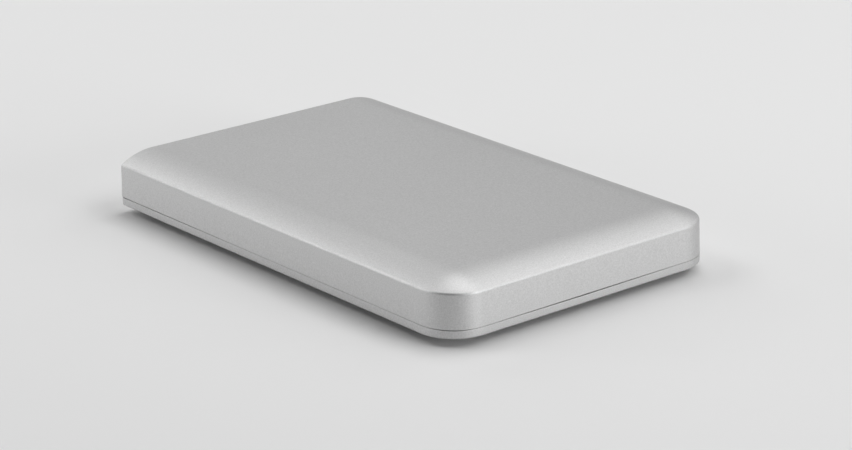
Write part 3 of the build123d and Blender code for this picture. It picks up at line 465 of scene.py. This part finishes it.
ground_steel = drawn(
    "ground_steel", (0.48, 0.48, 0.49), (0.62, 0.62, 0.63),
    roughness=(0.2, 0.32), lines=(900, 900, 12000), bump=0.1,
)
stacked_steel = striped(
    "stacked_steel", (0.16, 0.16, 0.17), (0.34, 0.34, 0.35),
    roughness=(0.35, 0.55), pitch=0.2 * MM, axis="Z", bump=0.6, metallic=1.0,
)
enamelled_wire = striped(
    "enamelled_wire", (0.38, 0.13, 0.05), (0.72, 0.33, 0.14),
    roughness=(0.25, 0.45), pitch=0.12 * MM, axis="DIAGONAL", bump=0.7, metallic=0.8,
)
bonded_magnet = grained(
    "bonded_magnet", grey(0.05), grey(0.13), roughness=(0.5, 0.7), fineness=3000, bump=0.3, metallic=0.6
)
dress(ground_steel, "spindle_sleeve")
dress(stacked_steel, "stator_core")
dress(enamelled_wire, "stator_coils")
dress(cast_alloy, "spindle_hub")
dress(bonded_magnet, "rotor_magnet")

# Disc and clamp
# A glass disc polished and coated to a mirror, held down on the hub by a pressed steel clamp and
# four small screws.


def clouded(name, dark, light, roughness, scale, metallic):
    """A polished finish with a faint cloud in its tone and gloss."""
    finish, tree, shader, place = start_finish(name, metallic)
    cloud = tree.nodes.new("ShaderNodeTexNoise")
    cloud.inputs["Scale"].default_value = scale
    tree.links.new(place, cloud.inputs["Vector"])
    two_tones(tree, shader, cloud.outputs["Fac"], dark, light)
    two_glosses(tree, shader, cloud.outputs["Fac"], roughness)
    return finish


disc_mirror = clouded(
    "disc_mirror", (0.78, 0.77, 0.76), grey(0.84), roughness=(0.02, 0.06), scale=90, metallic=1.0
)
dress(disc_mirror, "platter")
dress(ground_steel, "disc_clamp")
dress(zinc_steel, "clamp_screws")

# Head arm
# A machined aluminium arm on a ball-bearing cartridge, turning on a steel post. It carries a flat coil
# behind the pivot, two thin sprung steel blades in front, and a ceramic head on each blade.
lapped_ceramic = grained(
    "lapped_ceramic", (0.03, 0.03, 0.035), grey(0.07), roughness=(0.2, 0.35), fineness=4000, bump=0.1
)
dress(ground_steel, "pivot_shaft", "pivot_bearing", "suspensions")
dress(cast_alloy, "actuator_arm")
dress(enamelled_wire, "voice_coil")
dress(lapped_ceramic, "head_sliders")

# Coil magnet and its plates
# Two nickel-plated steel plates on three posts, with a nickel-plated magnet under the upper one, and
# two rubber stops that end the arm's swing.
bright_nickel = grained(
    "bright_nickel", (0.55, 0.53, 0.49), (0.68, 0.66, 0.62),
    roughness=(0.12, 0.25), fineness=900, bump=0.06, metallic=1.0,
)
dress(bright_nickel, "lower_magnet_plate", "upper_magnet_plate", "coil_magnet")
dress(ground_steel, "plate_posts")
dress(black_rubber, "crash_stops")

# Load ramp
# A ramp moulded in ivory plastic and held beside the disc by one screw. The heads park on it, clear
# of the disc.
ivory_plastic = grained(
    "ivory_plastic", (0.66, 0.62, 0.5), (0.76, 0.72, 0.61), roughness=(0.35, 0.5), fineness=1200, bump=0.12
)
dress(ivory_plastic, "load_ramp")
dress(zinc_steel, "ramp_screw")

# Flex cable, filter and drying pack
# A strip of amber film with copper tracks loops from the arm to a plastic bracket. A felt filter and a
# small pack of drying agent keep the air in the chamber clean.
amber_film = striped(
    "amber_film", (0.36, 0.14, 0.02), (0.6, 0.3, 0.06),
    roughness=(0.2, 0.35), pitch=0.2 * MM, axis="Z", bump=0.3, metallic=0.0,
)
white_felt = grained(
    "white_felt", (0.7, 0.7, 0.68), (0.88, 0.88, 0.86), roughness=(0.9, 1.0), fineness=2600, bump=1.0
)
black_plastic = grained(
    "black_plastic", grey(0.012), grey(0.028), roughness=(0.4, 0.55), fineness=2200, bump=0.2
)
dress(amber_film, "flex_cable")
dress(black_plastic, "flex_bracket")
dress(white_felt, "recirculation_filter", "desiccant_pack")

# Drive cover
# A lid pressed from brushed aluminium sheet with a round step over the disc, sealed by a rubber
# gasket and held by six screws.
brushed_sheet = drawn(
    "brushed_sheet", (0.55, 0.55, 0.56), (0.68, 0.68, 0.69),
    roughness=(0.3, 0.42), lines=(4500, 60, 60), bump=0.15,
)
dress(black_rubber, "cover_gasket")
dress(brushed_sheet, "drive_cover")
dress(zinc_steel, "cover_screws")

# Drive board
# A green board under the base with its chips facing in, four screws, and the plug of the drive's
# serial connector at the rear with gold-plated contacts.


def board_finish(name):
    """Solder mask over copper: lighter tracks on a dark green ground, with the glass weave under it."""
    finish, tree, shader, place = start_finish(name, 0.0)
    tracks = tree.nodes.new("ShaderNodeTexBrick")
    tracks.inputs["Scale"].default_value = 300.0
    tracks.inputs["Mortar Size"].default_value = 0.06
    tracks.inputs["Color1"].default_value = (0.012, 0.11, 0.045, 1)
    tracks.inputs["Color2"].default_value = (0.018, 0.14, 0.06, 1)
    tracks.inputs["Mortar"].default_value = (0.03, 0.22, 0.1, 1)
    tree.links.new(place, tracks.inputs["Vector"])
    tree.links.new(tracks.outputs["Color"], shader.inputs["Base Color"])
    weave = tree.nodes.new("ShaderNodeTexChecker")
    weave.inputs["Scale"].default_value = 2500.0
    tree.links.new(place, weave.inputs["Vector"])
    two_glosses(tree, shader, tracks.outputs["Fac"], (0.28, 0.4))
    relief(tree, shader, weave.outputs["Fac"], line_depth, 0.2)
    return finish


green_board = board_finish("green_board")
gold_plate = drawn(
    "gold_plate", (0.72, 0.5, 0.16), (0.86, 0.66, 0.26),
    roughness=(0.2, 0.3), lines=(9000, 600, 600), bump=0.08,
)
dress(green_board, "logic_board")
dress(zinc_steel, "logic_board_screws")
dress(black_plastic, "controller_chip", "motor_driver_chip", "cache_chip", "sata_plug")
dress(gold_plate, "plug_contacts")

# Bridge board
# A second green board behind the drive turns its signals into those of the port. It stands on two
# posts of the cover, and carries the receptacle for the drive and a few surface-mounted parts.
bright_can = drawn(
    "bright_can", grey(0.62), grey(0.75), roughness=(0.15, 0.25), lines=(600, 6000, 600), bump=0.06
)
tan_ceramic = grained(
    "tan_ceramic", (0.36, 0.26, 0.17), (0.5, 0.38, 0.26), roughness=(0.4, 0.55), fineness=3000, bump=0.15
)
white_lens = grained(
    "white_lens", (0.74, 0.74, 0.7), (0.84, 0.84, 0.8), roughness=(0.2, 0.3), fineness=1500, bump=0.05
)
dress(green_board, "bridge_board")
dress(zinc_steel, "bridge_board_screws")
dress(black_plastic, "sata_receptacle", "bridge_chip", "flash_chip", "power_inductor")
dress(gold_plate, "receptacle_contacts")
dress(bright_can, "clock_crystal")
dress(tan_ceramic, "capacitors")
dress(white_lens, "status_led")

# Data port and status light
# A folded shell of nickel-plated steel round two black tongues with gold-plated contacts, soldered to
# the bridge board, and beside it a clear rod that leads the light of a small lamp to the rear wall.
folded_steel = drawn(
    "folded_steel", (0.56, 0.56, 0.57), (0.68, 0.68, 0.69),
    roughness=(0.22, 0.34), lines=(700, 5000, 700), bump=0.08,
)
clear_rod = clouded(
    "clear_rod", (0.84, 0.86, 0.87), (0.92, 0.93, 0.94), roughness=(0.18, 0.3), scale=700, metallic=0.0
)
rod_shader = clear_rod.node_tree.nodes["Principled BSDF"]
rod_shader.inputs["Transmission Weight"].default_value = 0.7
rod_shader.inputs["IOR"].default_value = 1.49
dress(folded_steel, "usb_shell")
dress(black_plastic, "usb_insulator")
dress(gold_plate, "usb_contacts")
dress(clear_rod, "light_pipe")

# Top shell
# One casting of the same blasted aluminium: a flat top that falls away over curved shoulders on both
# sides and the front to a crease, then nearly upright walls, and a flat rear end that holds the port.
top_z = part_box("top_shell")[1].z
shell_low_z = seam_z + seam_gap / 2
shell_wall = 1.2 * MM
shoulder_angle = 31.0
shoulder_steps = 22
shoulder_radius = shoulder_width / sin(radians(shoulder_angle))
crease_z = top_z - shoulder_radius * (1 - cos(radians(shoulder_angle)))
crease_radius = 0.6 * MM
crease_reach = crease_radius * tan(radians(90 - shoulder_angle) / 2)
crease_steps = 5
wall_lean = wall_draft / (crease_z - seam_z)
rear_edge_break = 0.4 * MM
rear_edge_steps = 3
port_low, port_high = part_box("usb_shell")
port_z = (port_low.z + port_high.z) / 2
port_height = 1.85 * MM
port_room = 0.5 * MM
port_bays = ((-2.7 * MM, 6.9 * MM), (3.8 * MM, 4.7 * MM))
bay_low_z = port_z - port_height / 2 - port_room
bay_chamfer = 0.893 * MM
light_low, light_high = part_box("light_pipe")
light_x = (light_low.x + light_high.x) / 2
light_z = (light_low.z + light_high.z) / 2
light_hole = 0.95 * MM
light_hole_sides = 48
opening_depth = 4 * shell_wall
opening_break = 0.1 * MM
opening_turn = 60
flat_within = 1

bpy.ops.object.select_all(action="DESELECT")
bpy.ops.mesh.primitive_plane_add(
    size=1, location=(flat_half_width / 2, (corner_y + case_half_length) / 2, top_z)
)
bpy.context.object.scale = (flat_half_width, case_half_length - corner_y, 1)
shell = begin("case_shell")
pick(shell, "edges", lambda e: both(e, 0, flat_half_width))
bpy.ops.mesh.spin(
    steps=shoulder_steps,
    angle=-radians(shoulder_angle),
    center=(flat_half_width, 0, top_z - shoulder_radius),
    axis=(0, 1, 0),
)
bpy.ops.mesh.extrude_region_move(
    TRANSFORM_OT_translate={"value": (wall_lean * (crease_z - shell_low_z), 0, shell_low_z - crease_z)}
)
pick(shell, "edges", lambda e: both(e, 1, corner_y) and max(v.co.x for v in e.verts) > flat_half_width + weld)
bpy.ops.mesh.spin(steps=corner_steps, angle=pi / 2, center=(flat_half_width, corner_y, 0), axis=(0, 0, 1))
bpy.ops.mesh.extrude_region_move(TRANSFORM_OT_translate={"value": (-flat_half_width, 0, 0)})
merge_close()
bpy.ops.object.mode_set(mode="OBJECT")
halves = shell.modifiers.new("halves", "MIRROR")
halves.merge_threshold = weld
bpy.ops.object.modifier_apply(modifier=halves.name)
bpy.ops.object.mode_set(mode="EDIT")
pick(shell, "edges", lambda e: both(e, 1, case_half_length))
bpy.ops.mesh.edge_face_add()
bpy.ops.mesh.select_all(action="SELECT")
bpy.ops.mesh.normals_make_consistent(inside=False)
bpy.ops.object.mode_set(mode="OBJECT")
walls = shell.modifiers.new("walls", "SOLIDIFY")
walls.thickness = shell_wall
walls.offset = -1
walls.use_even_offset = True
bpy.ops.object.modifier_apply(modifier=walls.name)
bpy.ops.object.mode_set(mode="EDIT")
pick(shell, "edges", lambda e: both(e, 2, crease_z))
bpy.ops.mesh.bevel(offset=crease_reach, segments=crease_steps, affect="EDGES")
pick(shell, "edges", lambda e: both(e, 1, case_half_length) and not both(e, 2, shell_low_z))
bpy.ops.mesh.bevel(offset=rear_edge_break, segments=rear_edge_steps, affect="EDGES")
pick(shell, "edges", lambda e: both(e, 2, shell_low_z) and any(faces_out(f) for f in e.link_faces))
bpy.ops.mesh.bevel(offset=rim_break, segments=break_steps, affect="EDGES")
bpy.ops.object.mode_set(mode="OBJECT")

openings = []
for bay_x, bay_width in port_bays:
    bpy.ops.object.select_all(action="DESELECT")
    bpy.ops.mesh.primitive_cube_add(
        size=1,
        location=(bay_x, case_half_length, port_z),
        scale=(bay_width + 2 * port_room, opening_depth, port_height + 2 * port_room),
    )
    bay = begin("port_bay")
    pick(bay, "edges", lambda e: both(e, 2, bay_low_z) and level(e, 0))
    bpy.ops.mesh.bevel(offset=bay_chamfer, segments=1, affect="EDGES")
    bpy.ops.object.mode_set(mode="OBJECT")
    openings.append(bay)
bpy.ops.mesh.primitive_cylinder_add(
    vertices=light_hole_sides,
    radius=light_hole,
    depth=opening_depth,
    location=(light_x, case_half_length, light_z),
    rotation=(pi / 2, 0, 0),
)
openings.append(bpy.context.object)
cut(shell, openings)
bpy.context.view_layer.objects.active = shell
bpy.ops.object.mode_set(mode="EDIT")
pick(shell, "faces", lambda f: f.normal.y > square_on and near(f.calc_center_median().y, case_half_length))
bpy.ops.mesh.dissolve_limited(angle_limit=radians(flat_within))
pick(shell, "edges", lambda e: both(e, 1, case_half_length) and e.calc_face_angle(0) > radians(opening_turn))
bpy.ops.mesh.bevel(offset=opening_break, segments=break_steps, affect="EDGES")
bpy.ops.object.mode_set(mode="OBJECT")
close_up(shell, case_smooth_angle)
shell.data.materials.append(case_metal)
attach(shell, "case")
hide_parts("top_shell")

# Stage
# A seamless sweep of pale grey paper, with soft boxes in rings round the table and one overhead. The
# camera stands where the photographer stood.
floor_size = 6.0
floor_grey = 0.80
background_grey = 0.73
lit_reach = 0.3
pale_reach = 0.7
room_share = 0.12
lamp_distance = 1.0
# A ring has the height of its boxes in degrees, their width in metres, and watts by azimuth in degrees.
lamp_rings = (
    (10, 0.34, {-135: 1.6, -105: 0.7, 15: 3.1, 45: 0.9, 135: 0.15}),
    (28, 0.4, {90: 0.9, 150: 0.35, 180: 1.15}),
    (48, 0.5, {-140: 2.5, 20: 2.4, 60: 1.4}),
    (70, 0.6, {120: 3.3}),
)
view_azimuth = -39.23
view_height = 18.95
view_distance = 0.6497
view_aim_height = 6.95 * MM
view_aim = Vector((0, 0, cover_low_z + view_aim_height))
view_turn = 0.0056
view_tip = -0.00775
view_roll = -0.0107
focal_pixels = 2841
photo_pixels = 852


def bearing(azimuth, height):
    """Direction from the table towards a lamp or the camera."""
    azimuth, height = radians(azimuth), radians(height)
    return Vector((sin(azimuth) * cos(height), -cos(azimuth) * cos(height), sin(height)))


def combine(tree, how, first, second):
    """One value from two, each a number or a socket."""
    sums = tree.nodes.new("ShaderNodeMath")
    sums.operation = how
    for socket, value in zip(sums.inputs, (first, second)):
        if isinstance(value, float):
            socket.default_value = value
        else:
            tree.links.new(value, socket)
    return sums.outputs["Value"]


def seen_plainly(tree, mirrored):
    """One where the camera looks straight or through glass, and a share of that where metal mirrors."""
    path = tree.nodes.new("ShaderNodeLightPath").outputs
    glossy = combine(tree, "MULTIPLY", path["Is Glossy Ray"], mirrored)
    straight = combine(tree, "MAXIMUM", path["Is Camera Ray"], path["Is Transmission Ray"])
    return combine(tree, "MAXIMUM", straight, glossy)


def sweep_paper(name):
    """Matt paper round the object, which looks plain pale grey farther off, where the lamps fall short."""
    finish, tree, shader, place = start_finish(name, 0.0)
    shader.inputs["Base Color"].default_value = (*grey(floor_grey), 1)
    shader.inputs["Roughness"].default_value = 0.9
    shader.inputs["Specular IOR Level"].default_value = 0.0
    reach = tree.nodes.new("ShaderNodeVectorMath")
    reach.operation = "LENGTH"
    tree.links.new(place, reach.inputs[0])
    fade = tree.nodes.new("ShaderNodeMapRange")
    fade.interpolation_type = "SMOOTHSTEP"
    fade.inputs["From Min"].default_value = lit_reach
    fade.inputs["From Max"].default_value = pale_reach
    tree.links.new(reach.outputs["Value"], fade.inputs["Value"])
    pale = tree.nodes.new("ShaderNodeEmission")
    pale.inputs["Color"].default_value = (*grey(background_grey), 1)
    far_off = combine(tree, "MULTIPLY", seen_plainly(tree, 1.0), fade.outputs["Result"])
    sweep = tree.nodes.new("ShaderNodeMixShader")
    tree.links.new(far_off, sweep.inputs["Fac"])
    tree.links.new(shader.outputs["BSDF"], sweep.inputs[1])
    tree.links.new(pale.outputs["Emission"], sweep.inputs[2])
    tree.links.new(sweep.outputs["Shader"], tree.nodes["Material Output"].inputs["Surface"])
    return finish


bpy.ops.object.select_all(action="DESELECT")
bpy.ops.mesh.primitive_plane_add(size=floor_size, location=(0, 0, 0))
floor = bpy.context.object
floor.name = "floor"
floor.data.materials.append(sweep_paper("floor_paper"))

scene = bpy.context.scene
scene.view_settings.view_transform = "Standard"
world = bpy.data.worlds.new("studio")
scene.world = world
world.use_nodes = True
backdrop = world.node_tree.nodes["Background"]
backdrop.inputs["Color"].default_value = (*grey(background_grey), 1)
world.node_tree.links.new(seen_plainly(world.node_tree, room_share), backdrop.inputs["Strength"])

for height, width, lamps in lamp_rings:
    for azimuth, watts in lamps.items():
        light = bpy.data.lights.new("soft_box", "AREA")
        light.shape = "SQUARE"
        light.size = width
        light.energy = watts
        lamp = bpy.data.objects.new("soft_box", light)
        scene.collection.objects.link(lamp)
        lamp.visible_camera = False
        towards = bearing(azimuth, height)
        lamp.location = towards * lamp_distance
        lamp.rotation_euler = (-towards).to_track_quat("-Z", "Y").to_euler()

back = bearing(view_azimuth, view_height)
ahead = -back
right = ahead.cross(Vector((0, 0, 1))).normalized()
ahead = (ahead + right * tan(view_turn) + right.cross(ahead) * tan(view_tip)).normalized()
right = ahead.cross(Vector((0, 0, 1))).normalized()
up = right.cross(ahead)
right, up = right * cos(view_roll) + up * sin(view_roll), up * cos(view_roll) - right * sin(view_roll)
lens = bpy.data.cameras.new("camera")
lens.sensor_fit = "HORIZONTAL"
lens.sensor_width = 36.0
lens.lens = lens.sensor_width * focal_pixels / photo_pixels
lens.clip_start = 0.01
camera = bpy.data.objects.new("camera", lens)
scene.collection.objects.link(camera)
stand = Matrix((right, up, -ahead)).transposed().to_4x4()
stand.translation = back * view_distance + view_aim
camera.matrix_world = stand
scene.camera = camera
